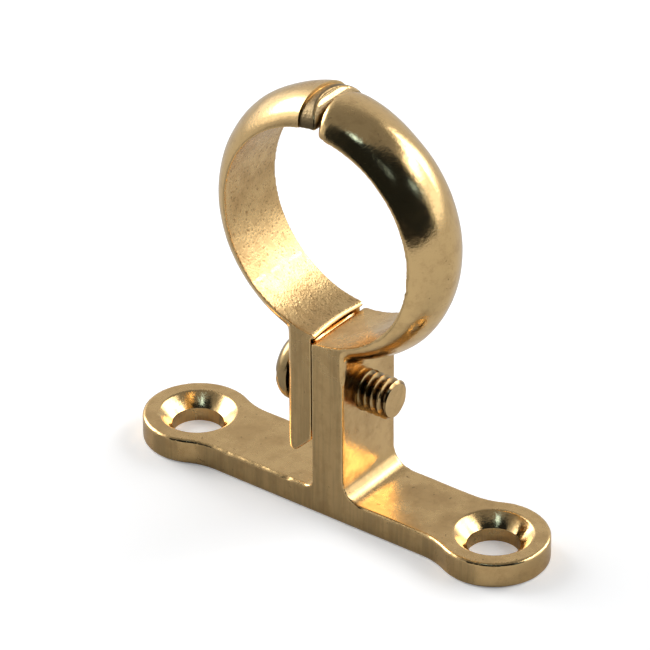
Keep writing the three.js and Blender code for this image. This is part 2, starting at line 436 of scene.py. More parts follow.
def root_of(spans, centre):
    """Tells whether a place is where a ring runs into the metal below it."""
    (left, right), (low, high) = spans

    def chosen(place):
        away = (Vector((place.x, 0, place.z)) - centre).length
        return left < place.x < right and low < place.z < high and away > BORE_RADIUS + 0.3
    return chosen


def boxier_end(end_angle):
    """The section's roundness, which gets boxier towards the ring's top end."""
    def roundness(angle):
        near = fade(angle - end_angle, 0, END_FADE)
        return ROUNDNESS + (END_ROUNDNESS - ROUNDNESS) * near
    return roundness


# ---------------------------------------------------------------------------- bracket


def plate():
    """The base plate: two round pads run into a waist by hollow necks."""
    neck_y = WAIST_HALF + NECK_RADIUS
    reach = math.sqrt((PAD_RADIUS + NECK_RADIUS) ** 2 - neck_y ** 2)
    neck_x = PAD_X - reach
    lean = math.degrees(math.atan2(neck_y, reach))
    bm = bmesh.new()
    slope = math.radians(lean)
    touch = Vector((-math.cos(slope), -math.sin(slope), 0)) * PAD_RADIUS
    vert = bm.verts.new(Vector((PAD_X, 0, 0)) + touch)
    for side in (1, -1):
        pad = Vector((side * PAD_X, 0, 0))
        vert = arc_to(bm, vert, pad, AXIS_Z, 360 - 2 * lean, 72)
        vert = arc_to(bm, vert, Vector((side * neck_x, side * neck_y, 0)), AXIS_Z, lean - 90, 12)
        vert = line_to(bm, vert, Vector((-side * neck_x, side * WAIST_HALF, 0)))
        vert = arc_to(bm, vert, Vector((-side * neck_x, side * neck_y, 0)), AXIS_Z, lean - 90, 12)
    pull_outline(bm, AXIS_Z * PLATE_THICKNESS, EDGE_ROUND)
    return piece_from(bm, "bracket_casting")


def upright():
    """The upright with its foot fillets, up into where the bore is cut."""
    def at(x, z):
        return Vector((x, -WAIST_HALF, z))

    foot = PLATE_THICKNESS
    left, right = UPRIGHT_LEFT, UPRIGHT_RIGHT
    top = FIXED_CENTRE.z - BORE_RADIUS + OVERCUT
    bm = bmesh.new()
    vert = bm.verts.new(at(left - FOOT_FILLET_LEFT, foot - 1))
    vert = line_to(bm, vert, at(right + FOOT_FILLET_RIGHT, foot - 1))
    vert = line_to(bm, vert, at(right + FOOT_FILLET_RIGHT, foot))
    centre = at(right + FOOT_FILLET_RIGHT, foot + FOOT_FILLET_RIGHT)
    vert = arc_to(bm, vert, centre, AXIS_Y, 90, 16)
    vert = line_to(bm, vert, at(right, top))
    vert = line_to(bm, vert, at(left, top))
    vert = line_to(bm, vert, at(left, foot + FOOT_FILLET_LEFT))
    centre = at(left - FOOT_FILLET_LEFT, foot + FOOT_FILLET_LEFT)
    vert = arc_to(bm, vert, centre, AXIS_Y, 90, 10)
    line_to(bm, vert, at(left - FOOT_FILLET_LEFT, foot - 1))
    pull_outline(bm, AXIS_Y * 2 * WAIST_HALF, EDGE_ROUND)
    return piece_from(bm, "upright")


def upright_corner_tool():
    """What rounds the upright's top corner beside the jaw."""
    low = FIXED_CENTRE.z - BORE_RADIUS - UPRIGHT_CORNER

    def at(x, z):
        return Vector((x, -WAIST_HALF - OVERCUT, z))

    bm = bmesh.new()
    vert = bm.verts.new(at(UPRIGHT_LEFT, low))
    centre = at(UPRIGHT_LEFT + UPRIGHT_CORNER, low)
    vert = arc_to(bm, vert, centre, AXIS_Y, 90, 8)
    lines_to(bm, vert, [
        at(UPRIGHT_LEFT + UPRIGHT_CORNER, low + OVERCUT),
        at(UPRIGHT_LEFT - OVERCUT, low + OVERCUT),
        at(UPRIGHT_LEFT - OVERCUT, low),
        at(UPRIGHT_LEFT, low),
    ])
    pull_outline(bm, AXIS_Y * 2 * (WAIST_HALF + OVERCUT))
    return piece_from(bm, "corner")


def fixed_half_ring():
    """The half ring that is one with the upright, its foot widened to the upright's width."""
    end_angle = math.asin((FIXED_END - FIXED_CENTRE.x) / (BORE_RADIUS + FIXED_CROWN))

    def half_at(angle):
        return RING_HALF + (WAIST_HALF - RING_HALF) * fade(math.degrees(angle), 168, 85)

    def crown_at(_angle):
        return FIXED_CROWN

    ring = domed_arc(
        FIXED_CENTRE, 1, crown_at, -6, 170, half_at, boxier_end(end_angle),
        rounded_end(FIXED_END - FIXED_CENTRE.x, 0, FIXED_END_BEND, 1, FIXED_END_ROUND))
    end_cut(ring, FIXED_CENTRE, FIXED_END, 0, FIXED_END_BEND, 1)
    return ring


def countersink_tool(x):
    """A countersunk screw hole with the rim's sharp edge broken."""
    top = PLATE_THICKNESS
    slope = (COUNTERSINK_RADIUS - HOLE_RADIUS) / COUNTERSINK_DEPTH
    profile = [
        (-OVERCUT, 0),
        (-OVERCUT, HOLE_RADIUS),
        (top - COUNTERSINK_DEPTH, HOLE_RADIUS),
        (top - RIM_BREAK, COUNTERSINK_RADIUS - slope * RIM_BREAK),
        (top + RIM_BREAK, COUNTERSINK_RADIUS + RIM_BREAK * 3),
        (top + OVERCUT, COUNTERSINK_RADIUS + RIM_BREAK * 3),
        (top + OVERCUT, 0),
    ]
    return turned(profile, AXIS_Z, Vector((x, 0, 0)), COUNTERSINK_SIDES, "countersink")


def edge_knocks():
    """Small knocks along the top front edge of the plate, each a place, a size and a depth."""
    draw = random.Random(4)
    knocks = []
    for _ in range(KNOCK_COUNT):
        place = Vector((draw.uniform(*KNOCK_SPAN), -WAIST_HALF, PLATE_THICKNESS))
        knocks.append((place, draw.uniform(*KNOCK_SIZES), draw.uniform(*KNOCK_DEPTHS)))
    return knocks


def bracket_casting():
    """The plate, upright and fixed half ring as one casting, drilled and tapped."""
    casting = plate()
    combine(casting, "UNION", [upright(), fixed_half_ring()])
    combine(casting, "DIFFERENCE", [bore_tool(FIXED_CENTRE), upright_corner_tool()])
    cast_skin(casting, *CASTING_SKIN)

    def ring_end(place):
        return place.x < FIXED_END + 1.1 and place.z > FIXED_CENTRE.z + BORE_RADIUS - 1.5

    soften_where(casting, root_of(UPRIGHT_ROOT, FIXED_CENTRE), UPRIGHT_ROOT_ROUNDS)
    soften_where(casting, ring_end, RING_END_ROUNDS)
    knocks = edge_knocks()

    def shift(place, normal):
        moved = normal * waviness(place, *CASTING_WAVES)
        for centre, size, depth in knocks:
            away = place - centre
            near = fade(Vector((away.x * KNOCK_LENGTHENING, away.y, away.z)).length, 0, size)
            moved += KNOCK_WAY * depth * near
        return moved if place.z > 0.25 else Vector()

    move_verts(casting, shift)
    reach = AXIS_X * OVERCUT
    tapped = bar(
        TAPPED_RADIUS, Vector((UPRIGHT_LEFT, 0, SCREW_Z)) - reach,
        Vector((UPRIGHT_RIGHT, 0, SCREW_Z)) + reach)
    tools = [countersink_tool(-PAD_X), countersink_tool(PAD_X), tapped]
    combine(casting, "DIFFERENCE", tools, "MANIFOLD")
    finish_mesh(casting)
    return casting


# -------------------------------------------------------------------------------- jaw


def jaw_leg():
    """The jaw's leg, rounded on its outer corners, with its lower inner edge cut away."""
    top = JAW_CENTRE.z - BORE_RADIUS + OVERCUT
    bottom = JAW_LOW.z
    bm = bmesh.new()

    def at(x, y):
        return Vector((x, y, bottom))

    vert = bm.verts.new(at(LEG_INNER, -RING_HALF))
    vert = line_to(bm, vert, at(LEG_INNER, RING_HALF))
    vert = line_to(bm, vert, at(LEG_OUTER + LEG_CORNER, RING_HALF))
    centre = at(LEG_OUTER + LEG_CORNER, RING_HALF - LEG_CORNER)
    vert = arc_to(bm, vert, centre, AXIS_Z, 90, 10)
    vert = line_to(bm, vert, at(LEG_OUTER, LEG_CORNER - RING_HALF))
    centre = at(LEG_OUTER + LEG_CORNER, LEG_CORNER - RING_HALF)
    vert = arc_to(bm, vert, centre, AXIS_Z, 90, 10)
    line_to(bm, vert, at(LEG_INNER, -RING_HALF))
    pull_outline(bm, AXIS_Z * (top - bottom))
    leg = piece_from(bm, "leg")
    combine(leg, "DIFFERENCE", [leg_end_tool(bottom)])
    return leg


def leg_end_tool(bottom):
    """The corner that is cut off the leg's end."""
    bm = bmesh.new()
    reach = RING_HALF + OVERCUT
    left, right = LEG_INNER - LEG_CHAMFER, LEG_INNER + OVERCUT
    first = Vector((left, -reach, bottom - 1e-3))
    lines_to(bm, bm.verts.new(first), [
        Vector((left, -reach, bottom - OVERCUT)),
        Vector((right, -reach, bottom - OVERCUT)),
        Vector((right, -reach, bottom + LEG_CHAMFER + OVERCUT)),
        first,
    ])
    pull_outline(bm, AXIS_Y * 2 * reach)
    return piece_from(bm, "leg_end")


def lip_tool():
    """Cuts the half ring's lower end to a rounded lip that hangs over the upright's corner."""
    bore = JAW_CENTRE.z - BORE_RADIUS
    under = bore - LIP_ROUND

    def at(x, z):
        return Vector((x, -RING_HALF - OVERCUT, z))

    bm = bmesh.new()
    vert = bm.verts.new(at(LIP_REACH, under))
    vert = arc_to(bm, vert, at(LIP_REACH - LIP_ROUND, under), AXIS_Y, -90, 8)
    right, bottom = LIP_REACH + 6, bore - 8
    lines_to(bm, vert, [
        at(LIP_REACH - LIP_ROUND, bore + OVERCUT),
        at(right, bore + OVERCUT),
        at(right, bottom),
        at(LEG_INNER, bottom),
        at(LEG_INNER, under - 0.15),
        at(LIP_REACH, under),
    ])
    pull_outline(bm, AXIS_Y * 2 * (RING_HALF + OVERCUT))
    return piece_from(bm, "lip")


def jaw_tongue():
    """The stepped tongue at the jaw's top, its nose cut back under the fixed half's end."""
    def slim(_angle):
        return RING_HALF - TONGUE_STEP / 2

    def crown_at(_angle):
        return JAW_END_CROWN - TONGUE_STEP

    def roundness(_angle):
        return END_ROUNDNESS

    tongue = domed_arc(
        JAW_CENTRE, -1, crown_at, -3, 16, slim, roundness,
        rounded_end(TONGUE_END - JAW_CENTRE.x, 0, TONGUE_END_BEND, -1, TONGUE_END_ROUND),
        TONGUE_STEPS)
    end_cut(tongue, JAW_CENTRE, TONGUE_END, 0, TONGUE_END_BEND, -1)
    combine(tongue, "DIFFERENCE", [bore_tool(JAW_CENTRE)])
    cast_skin(tongue, *TONGUE_SKIN)
    return tongue


def clamp_jaw():
    """The loose half ring with its tongue and leg."""
    def plain(_angle):
        return RING_HALF

    dome_angle = math.asin((JAW_CENTRE.x - DOME_END) / (BORE_RADIUS + JAW_CROWN))

    def crown_at(angle):
        near = fade(angle - dome_angle, 0, END_FADE)
        return JAW_CROWN + (JAW_END_CROWN - JAW_CROWN) * near

    def no_inset(_away):
        return 0

    jaw = domed_arc(
        JAW_CENTRE, -1, crown_at, 4, 181, plain, boxier_end(dome_angle), no_inset)
    combine(jaw, "UNION", [jaw_leg()])
    combine(jaw, "DIFFERENCE", [bore_tool(JAW_CENTRE), lip_tool()])
    cast_skin(jaw, *JAW_SKIN)

    def leg_end(place):
        return place.z < JAW_LOW.z + LEG_CHAMFER + 1.2

    soften_where(jaw, root_of(LEG_ROOT, JAW_CENTRE), LEG_ROOT_ROUNDS)
    soften_where(jaw, leg_end, LEG_END_ROUNDS)

    def shift(place, normal):
        moved = normal * waviness(place, *JAW_WAVES)
        if 23.5 < place.z < 27 and place.x > -1.9:
            bow = 1 - (place.y / RING_HALF) ** 2
            moved.x -= LIP_BOW * bow * fade(place.x, LIP_REACH - 0.2, -1.9)
        return moved

    move_verts(jaw, shift)
    reach = AXIS_X * OVERCUT
    hole = bar(
        LEG_HOLE_RADIUS, Vector((LEG_OUTER, 0, SCREW_Z)) - reach,
        Vector((LEG_INNER, 0, SCREW_Z)) + reach)
    combine(jaw, "DIFFERENCE", [hole], "MANIFOLD")
    end_cut(jaw, JAW_CENTRE, DOME_END, DOME_END_LEAN, 0, -1)
    combine(jaw, "UNION", [jaw_tongue()])
    jaw.name = "clamp_jaw_casting"
    finish_mesh(jaw)
    return jaw


# ------------------------------------------------------------------------------ screw


def threaded_rod():
    """A rod with a V thread run along it, closed by flat ends."""
    bm = bmesh.new()
    crest_flat, root_flat = 0.12, 0.16
    flank = (THREAD_PITCH - crest_flat - root_flat) / 2
    marks = [
        (0, THREAD_ROOT),
        (flank, THREAD_RADIUS),
        (flank + crest_flat, THREAD_RADIUS),
        (2 * flank + crest_flat, THREAD_ROOT),
        (THREAD_PITCH, THREAD_ROOT),
    ]
    origin = Vector((THREAD_START - 2 * THREAD_PITCH, 0, SCREW_Z))
    points = [origin + AXIS_X * along + AXIS_Z * radius for along, radius in marks]
    lines_to(bm, bm.verts.new(points[0]), points[1:])
    turns = math.ceil((SCREW_TIP - THREAD_START) / THREAD_PITCH) + 4
    bmesh.ops.spin(
        bm, geom=bm.verts[:] + bm.edges[:], cent=origin, axis=AXIS_X,
        dvec=AXIS_X * THREAD_PITCH / THREAD_STEPS, angle=2 * math.pi * turns,
        steps=THREAD_STEPS * turns, use_duplicate=False)
    bmesh.ops.remove_doubles(bm, verts=bm.verts[:], dist=1e-3)
    for x, outwards in ((THREAD_START, -1), (SCREW_TIP + 1, 1)):
        cut = bmesh.ops.bisect_plane(
            bm, geom=bm.verts[:] + bm.edges[:] + bm.faces[:], plane_co=(x, 0, 0),
            plane_no=(outwards, 0, 0), clear_outer=True)
        rim = [g for g in cut["geom_cut"] if isinstance(g, bmesh.types.BMEdge)]
        bmesh.ops.contextual_create(bm, geom=rim)
    return piece_from(bm, "clamp_screw_turned")


def screw_blank():
    """The round blank that the thread is cut in, its tip chamfered."""
    profile = [
        (THREAD_START - 1, 0),
        (THREAD_START - 1, THREAD_RADIUS + 0.5),
        (SCREW_TIP - TIP_CHAMFER - 0.5, THREAD_RADIUS + 0.5),
        (SCREW_TIP, THREAD_RADIUS - TIP_CHAMFER),
        (SCREW_TIP, 0),
    ]
    return turned(profile, AXIS_X, Vector((0, 0, SCREW_Z)), TURNED_SIDES, "blank")


def screw_head():
    """The round head with its slot."""
    edge = 0.15
    dome = HEAD_SEAT - HEAD_RIM - HEAD_CROWN
    profile = [
        (THREAD_START + 0.4, 0),
        (THREAD_START + 0.4, THREAD_ROOT),
        (HEAD_SEAT, THREAD_ROOT + 0.25),
        (HEAD_SEAT, HEAD_RADIUS - edge),
        (HEAD_SEAT - edge, HEAD_RADIUS),
    ]
    for i in range(HEAD_STEPS + 1):
        angle = math.pi / 2 * i / HEAD_STEPS
        along = HEAD_SEAT - HEAD_RIM - dome * math.sin(angle)
        profile.append((along, HEAD_RADIUS * math.cos(angle)))
    head = turned(profile, AXIS_X, Vector((0, 0, SCREW_Z)), TURNED_SIDES, "head")
    slot = block(
        (HEAD_CROWN - OVERCUT, -HEAD_RADIUS - 1, SCREW_Z - SLOT_WIDTH / 2),
        (HEAD_CROWN + SLOT_DEPTH, HEAD_RADIUS + 1, SCREW_Z + SLOT_WIDTH / 2))
    combine(head, "DIFFERENCE", [slot])
    return head


def clamp_screw():
    """The clamp screw with its cut thread and slotted head."""
    screw = threaded_rod()
    combine(screw, "INTERSECT", [screw_blank()])
    combine(screw, "UNION", [screw_head()])
    finish_mesh(screw, 28)
    return screw


# -------------------------------------------------------------------------- materials


class Tree:
    """Short ways to add and join nodes in one node tree."""

    def __init__(self, tree):
        self.tree = tree

    def add(self, kind, **settings):
        node = self.tree.nodes.new(kind)
        for key, value in settings.items():
            setattr(node, key, value)
        return node

    def join(self, source, target):
        self.tree.links.new(source, target)
        return target

    def math(self, operation, first, second=0.0, clamp=False):
        node = self.add("ShaderNodeMath", operation=operation, use_clamp=clamp)
        for socket, value in zip(node.inputs, (first, second)):
            self.feed(socket, value)
        return node.outputs[0]

    def feed(self, socket, value):
        if isinstance(value, bpy.types.NodeSocket):
            self.join(value, socket)
        else:
            socket.default_value = value

    def ramp(self, value, low, high, to_low=0.0, to_high=1.0):
        node = self.add("ShaderNodeMapRange", interpolation_type="SMOOTHSTEP", clamp=True)
        for socket, given in zip(node.inputs, (value, low, high, to_low, to_high)):
            self.feed(socket, given)
        return node.outputs[0]

    def noise(self, vector, scale, detail=2.0, roughness=0.5):
        node = self.add("ShaderNodeTexNoise")
        self.join(vector, node.inputs["Vector"])
        self.feed(node.inputs["Scale"], scale)
        self.feed(node.inputs["Detail"], detail)
        self.feed(node.inputs["Roughness"], roughness)
        return node.outputs["Fac"]

    def stretch(self, vector, scale):
        node = self.add("ShaderNodeMapping")
        self.join(vector, node.inputs["Vector"])
        node.inputs["Scale"].default_value = scale
        return node.outputs["Vector"]

    def mix(self, share, first, second):
        node = self.add("ShaderNodeMix", data_type="RGBA")
        self.feed(node.inputs[0], share)
        self.feed(node.inputs[6], first)
        self.feed(node.inputs[7], second)
        return node.outputs[2]

    def stain(self, colour, mask, share, tone):
        """Lays a share of a tone over a colour where the mask is."""
        return self.mix(self.math("MULTIPLY", mask, share), colour, tone)

    def plus(self, value, mask, share):
        """Adds a share of the mask to a value."""
        return self.math("ADD", value, self.math("MULTIPLY", mask, share))


def group(name, inputs, outputs):
    """A new node group with value or vector sockets, its tree and its two ends' sockets."""
    made = bpy.data.node_groups.new(name, "ShaderNodeTree")
    kinds = {"vector": "NodeSocketVector", "value": "NodeSocketFloat"}
    for label, kind in inputs:
        made.interface.new_socket(label, in_out="INPUT", socket_type=kinds[kind])
    for label, kind in outputs:
        made.interface.new_socket(label, in_out="OUTPUT", socket_type=kinds[kind])
    tree = Tree(made)
    return made, tree, tree.add("NodeGroupInput").outputs, tree.add("NodeGroupOutput").inputs


def place_group(tree, made, **values):
    """Places a group, with values or sockets for its inputs by name. Gives its outputs."""
    node = tree.add("ShaderNodeGroup", node_tree=made)
    for label, value in values.items():
        tree.feed(node.inputs[label], value)
    return node.outputs


def cast_grain_group():
    """The pebbled skin that sand leaves: its height and its pits."""
    made, t, given, result = group(
        "cast_grain", [("Place", "vector"), ("Scale", "value")],
        [("Height", "value"), ("Pits", "value")])
    fine = t.noise(given["Place"], given["Scale"], 3.0, 0.62)
    coarse = t.noise(given["Place"], t.math("MULTIPLY", given["Scale"], 0.37), 2.0)
    height = t.plus(t.math("MULTIPLY", fine, 0.65), coarse, 0.35)
    t.join(height, result["Height"])
    t.join(t.ramp(height, 0.47, 0.36), result["Pits"])
    return made


def belt_marks_group():
    """Fine straight marks along Z that a belt leaves on the flat sides."""
    made, t, given, result = group(
        "belt_marks", [("Place", "vector"), ("Scale", "value")],
        [("Height", "value"), ("Mottle", "value")])
    marks = t.stretch(given["Place"], (1.0, 1.0, 0.06))
    lines = t.noise(marks, given["Scale"], 3.0, 0.7)
    wide = t.noise(marks, t.math("MULTIPLY", given["Scale"], 0.2), 2.0)
    t.join(lines, result["Height"])
    both = t.plus(t.math("MULTIPLY", lines, 0.5), wide, 0.5)
    t.join(t.ramp(both, 0.38, 0.62), result["Mottle"])
    return made


def tarnish_group():
    """Cloudy patches of older, browner metal, and small specks."""
    made, t, given, result = group(
        "tarnish", [("Place", "vector")], [("Clouds", "value"), ("Specks", "value")])
    clouds = t.noise(given["Place"], 180.0, 4.0, 0.6)
    specks = t.noise(given["Place"], 1900.0, 2.0, 0.5)
    t.join(t.ramp(clouds, 0.42, 0.66), result["Clouds"])
    t.join(t.ramp(specks, 0.68, 0.76), result["Specks"])
    return made


def handling_group():
    """Hair scratches, small dents and grime that years of handling leave on polished metal."""
    made, t, given, result = group(
        "handling", [("Place", "vector")],
        [("Scratches", "value"), ("Dents", "value"), ("Grime", "value")])
    lines = []
    for turn, scale in (((0.3, 0.5, 0.2), (1, 0.05, 1)), ((1.2, 0.1, 0.9), (0.05, 1, 1))):
        node = t.add("ShaderNodeMapping")
        t.join(given["Place"], node.inputs["Vector"])
        node.inputs["Rotation"].default_value = turn
        node.inputs["Scale"].default_value = scale
        lines.append(t.noise(node.outputs["Vector"], 5200.0, 2.0, 0.6))
    t.join(t.plus(t.math("MULTIPLY", lines[0], 0.5), lines[1], 0.5), result["Scratches"])
    t.join(t.noise(given["Place"], 1500.0, 4.0, 0.62), result["Dents"])
    cloud = t.noise(given["Place"], 520.0, 6.0, 0.72)
    t.join(t.ramp(cloud, 0.44, 0.66), result["Grime"])
    return made


def edge_wear_group():
    """Where handling has worn the edges bright, and where hollows stay dark."""
    made, t, given, result = group(
        "edge_wear", [("Pointiness", "value"), ("Amount", "value")],
        [("Worn", "value"), ("Hollow", "value")])
    worn = t.ramp(given["Pointiness"], 0.515, 0.56)
    hollow = t.ramp(given["Pointiness"], 0.485, 0.44)
    t.join(t.math("MULTIPLY", worn, given["Amount"]), result["Worn"])
    t.join(t.math("MULTIPLY", hollow, given["Amount"]), result["Hollow"])
    return made


GRAIN = cast_grain_group()
BELT = belt_marks_group()
TARNISH = tarnish_group()
HANDLING = handling_group()
WEAR = edge_wear_group()

GRAIN_SCALE = 3400.0
BELT_SCALE = 2600.0
TURNING_SCALE = 9000.0

BRIGHT_BRASS = (0.90, 0.62, 0.285, 1)
SATIN_BRASS = (0.84, 0.57, 0.26, 1)
# Painted shade: a darker brass for the flat front and back faces and the screw's threaded shank
PAINTED_SHADE_BRASS = (0.49, 0.335, 0.155, 1)
BROWN_BRASS = (0.42, 0.25, 0.10, 1)
# Dark brown of the rough as-cast skin, also used as painted shade on the drilled hole walls and the
# tongue's end face
CAST_SKIN_AND_SHADE_BROWN = (0.11, 0.085, 0.05, 1)
DARK_BRASS = (0.12, 0.07, 0.03, 1)
# Painted shade over the screw up to just past the upright
UPRIGHT_SHADE_BRASS = (0.26, 0.2, 0.1, 1)


def axis_distance(t, place, centre, axis):
    """Distance from a line along an axis through centre, in metres."""
    node = t.add("ShaderNodeVectorMath", operation="SUBTRACT")
    t.join(place, node.inputs[0])
    node.inputs[1].default_value = centre * MM
    flat = t.add("ShaderNodeVectorMath", operation="MULTIPLY")
    t.join(node.outputs[0], flat.inputs[0])
    flat.inputs[1].default_value = Vector((1, 1, 1)) - axis
    length = t.add("ShaderNodeVectorMath", operation="LENGTH")
    t.join(flat.outputs[0], length.inputs[0])
    return length.outputs["Value"]


def start_material(name):
    """A metallic material with its tree, Principled node, object place and object normal."""
    material = bpy.data.materials.new(name)
    material.use_nodes = True
    t = Tree(material.node_tree)
    shader = material.node_tree.nodes["Principled BSDF"]
    shader.inputs["Metallic"].default_value = 1.0
    where = t.add("ShaderNodeTexCoord")
    return material, t, shader, where.outputs["Object"], where.outputs["Normal"]


def bump(t, height, strength, distance, normal=None):
    """A Bump node for a height."""
    node = t.add("ShaderNodeBump")
    t.join(height, node.inputs["Height"])
    t.feed(node.inputs["Strength"], strength)
    node.inputs["Distance"].default_value = distance
    if normal is not None:
        t.join(normal, node.inputs["Normal"])
    return node.outputs["Normal"]


def hole_wall(t, place):
    """Where the plate's two screw holes are drilled, below the countersinks."""
    split = t.add("ShaderNodeSeparateXYZ")
    t.join(place, split.inputs[0])
    low = t.ramp(split.outputs["Z"], (PLATE_THICKNESS - COUNTERSINK_DEPTH) * MM,
                 (PLATE_THICKNESS - COUNTERSINK_DEPTH - 0.15) * MM)
    walls = [
        t.ramp(axis_distance(t, place, Vector((x, 0, 0)), AXIS_Z), (HOLE_RADIUS + 0.1) * MM,
               (HOLE_RADIUS + 0.02) * MM)
        for x in (-PAD_X, PAD_X)]
    return t.math("MULTIPLY", low, t.math("MAXIMUM", *walls))


def casting_material(name, bore_centre, bore_grain, polish, step=None):
    """Brass as cast in the bore, belted on the flat sides and polished on the ring; painted shade
    darkens the flat sides and the drilled hole walls.

    Where a step is given, the tongue past it is left as cast and painted dark brown, as its own
    skin and as painted shade on its end face, with a strip across its nose left bright as a painted
    highlight.
    """
    material, t, shader, place, normal = start_material(name)
    split = t.add("ShaderNodeSeparateXYZ")
    t.join(normal, split.inputs[0])
    split_place = t.add("ShaderNodeSeparateXYZ")
    t.join(place, split_place.inputs[0])
    side = t.ramp(t.math("ABSOLUTE", split.outputs["Y"]), 0.93, 0.985)
    upward = t.ramp(split.outputs["Z"], 0.9, 0.97)
    away = axis_distance(t, place, bore_centre, AXIS_Y)
    bore = t.ramp(away, (BORE_RADIUS + 0.2) * MM, (BORE_RADIUS + 0.05) * MM)
    ring = t.math("MULTIPLY", t.ramp(away, 20 * MM, 17.9 * MM), t.math("SUBTRACT", 1.0, bore))
    grain = place_group(t, GRAIN, Place=place, Scale=GRAIN_SCALE)
    belt = place_group(t, BELT, Place=place, Scale=BELT_SCALE)
    tarnish = place_group(t, TARNISH, Place=place)
    handling = place_group(t, HANDLING, Place=place)
    geometry = t.add("ShaderNodeNewGeometry")
    wear = place_group(t, WEAR, Pointiness=geometry.outputs["Pointiness"], Amount=1.0)
    # Painted shade: the drilled hole walls are painted dark and made rougher
    rough_skin_and_shade = hole_wall(t, place)
    if step is not None:
        top = bore_centre.z + BORE_RADIUS
        across = t.math("ADD", split_place.outputs["X"],
                        t.math("MULTIPLY", t.math("SUBTRACT", split_place.outputs["Z"], top * MM),
                               DOME_END_LEAN))
        band = t.math("MULTIPLY", t.ramp(across, (step - 0.02) * MM, (step + 0.12) * MM),
                      t.ramp(split_place.outputs["Z"], (top - 1.0) * MM, (top - 0.5) * MM))
        # Painted highlight: a strip across the tongue's nose, where it turns part way towards +X,
        # is kept bright
        nose_highlight = t.math("SUBTRACT", t.ramp(split.outputs["X"], 0.15, 0.3),
                        t.ramp(split.outputs["X"], 0.46, 0.6))
        rough_skin_and_shade = t.math("MULTIPLY", band, t.math("SUBTRACT", 1.0, nose_highlight))

    colour = t.stain(SATIN_BRASS, tarnish["Clouds"], 0.35, BROWN_BRASS)
    colour = t.stain(colour, ring, polish, BRIGHT_BRASS)
    # Painted shade: the flat front and back faces are painted a darker brass, mottled by the belt
    # marks
    colour = t.mix(side, colour, t.stain(PAINTED_SHADE_BRASS, belt["Mottle"], 0.4, SATIN_BRASS))
    colour = t.stain(colour, t.math("MULTIPLY", bore, grain["Pits"]), bore_grain, BROWN_BRASS)
    colour = t.stain(colour, handling["Grime"], 0.3, BROWN_BRASS)
    colour = t.stain(colour, tarnish["Specks"], 0.5, DARK_BRASS)
    colour = t.stain(colour, wear["Hollow"], 0.5, BROWN_BRASS)
    # Painted shade on the hole walls; on the jaw's tongue, its dark as-cast skin and painted shade
    # on its end face
    colour = t.stain(colour, rough_skin_and_shade, 0.85, CAST_SKIN_AND_SHADE_BROWN)
    colour = t.mix(wear["Worn"], colour, BRIGHT_BRASS)
    t.join(colour, shader.inputs["Base Color"])

    rough = t.ramp(ring, 0.0, 1.0, 0.16, 0.115)
    rough = t.plus(rough, upward, 0.09)
    rough = t.plus(rough, side, 0.14)
    rough = t.plus(rough, bore, 0.1 * bore_grain)
    rough = t.plus(rough, tarnish["Clouds"], 0.04)
    rough = t.plus(rough, handling["Grime"], 0.09)
    rough = t.plus(rough, rough_skin_and_shade, 0.18)
    rough = t.math("SUBTRACT", rough, t.math("MULTIPLY", wear["Worn"], 0.08))
    t.join(rough, shader.inputs["Roughness"])

    level = t.plus(t.math("MULTIPLY", bore, bore_grain), upward, 0.12)
    level = t.plus(level, rough_skin_and_shade, 0.9)
    pebbles = bump(t, grain["Height"], t.math("ADD", level, 0.06, True), 0.00009)
    dents = bump(t, handling["Dents"], 0.3, 0.00007, pebbles)
    hairs = bump(t, handling["Scratches"], 0.2, 0.00004, dents)
    lines = bump(t, belt["Height"], t.math("MULTIPLY", side, 0.25), 0.00003, hairs)
    t.join(lines, shader.inputs["Normal"])
    return material


def screw_material():
    """Turned brass, with painted shade in the thread's roots, on the threaded shank, and over the
    whole screw up to just past the upright, fading out towards the tip.
    """
    material, t, shader, place, normal = start_material("turned_brass")
    radius = axis_distance(t, place, Vector((0, 0, SCREW_Z)), AXIS_X)
    tarnish = place_group(t, TARNISH, Place=place)
    handling = place_group(t, HANDLING, Place=place)
    rings = t.add("ShaderNodeTexNoise", noise_dimensions="1D")
    t.join(radius, rings.inputs["W"])
    rings.inputs["Scale"].default_value = TURNING_SCALE
    split = t.add("ShaderNodeSeparateXYZ")
    t.join(place, split.inputs[0])
    threaded = t.ramp(split.outputs["X"], LEG_OUTER * MM, (LEG_OUTER + 0.3) * MM)
    root = t.ramp(radius, (THREAD_RADIUS - 0.06) * MM, (THREAD_ROOT + 0.12) * MM)
    split_normal = t.add("ShaderNodeSeparateXYZ")
    t.join(normal, split_normal.inputs[0])
    flank = t.ramp(t.math("ABSOLUTE", split_normal.outputs["X"]), 0.97, 0.9)
    # Painted shade in the thread's roots
    root_shade = t.math("MULTIPLY", t.math("MULTIPLY", root, threaded), flank)
    # Painted shade over the whole screw, head included, up to just past the upright, fading out
    # before the tip
    upright_shade = t.ramp(split.outputs["X"], (SCREW_TIP - 1.5) * MM, (UPRIGHT_RIGHT + 0.5) * MM)
    colour = t.stain(SATIN_BRASS, tarnish["Clouds"], 0.3, BROWN_BRASS)
    # Painted shade: the threaded shank is painted a darker brass
    colour = t.stain(colour, t.math("MULTIPLY", threaded, flank), 0.6, PAINTED_SHADE_BRASS)
    colour = t.stain(colour, upright_shade, 0.7, UPRIGHT_SHADE_BRASS)
    colour = t.stain(colour, root_shade, 0.92, DARK_BRASS)
    colour = t.stain(colour, handling["Grime"], 0.3, BROWN_BRASS)
    t.join(colour, shader.inputs["Base Color"])
    rough = t.ramp(tarnish["Clouds"], 0.0, 1.0, 0.14, 0.2)
    rough = t.plus(rough, handling["Grime"], 0.1)
    t.join(rough, shader.inputs["Roughness"])
    turning = bump(t, rings.outputs["Fac"], 0.15, 0.00002)
    t.join(bump(t, handling["Dents"], 0.2, 0.00006, turning), shader.inputs["Normal"])
    return material


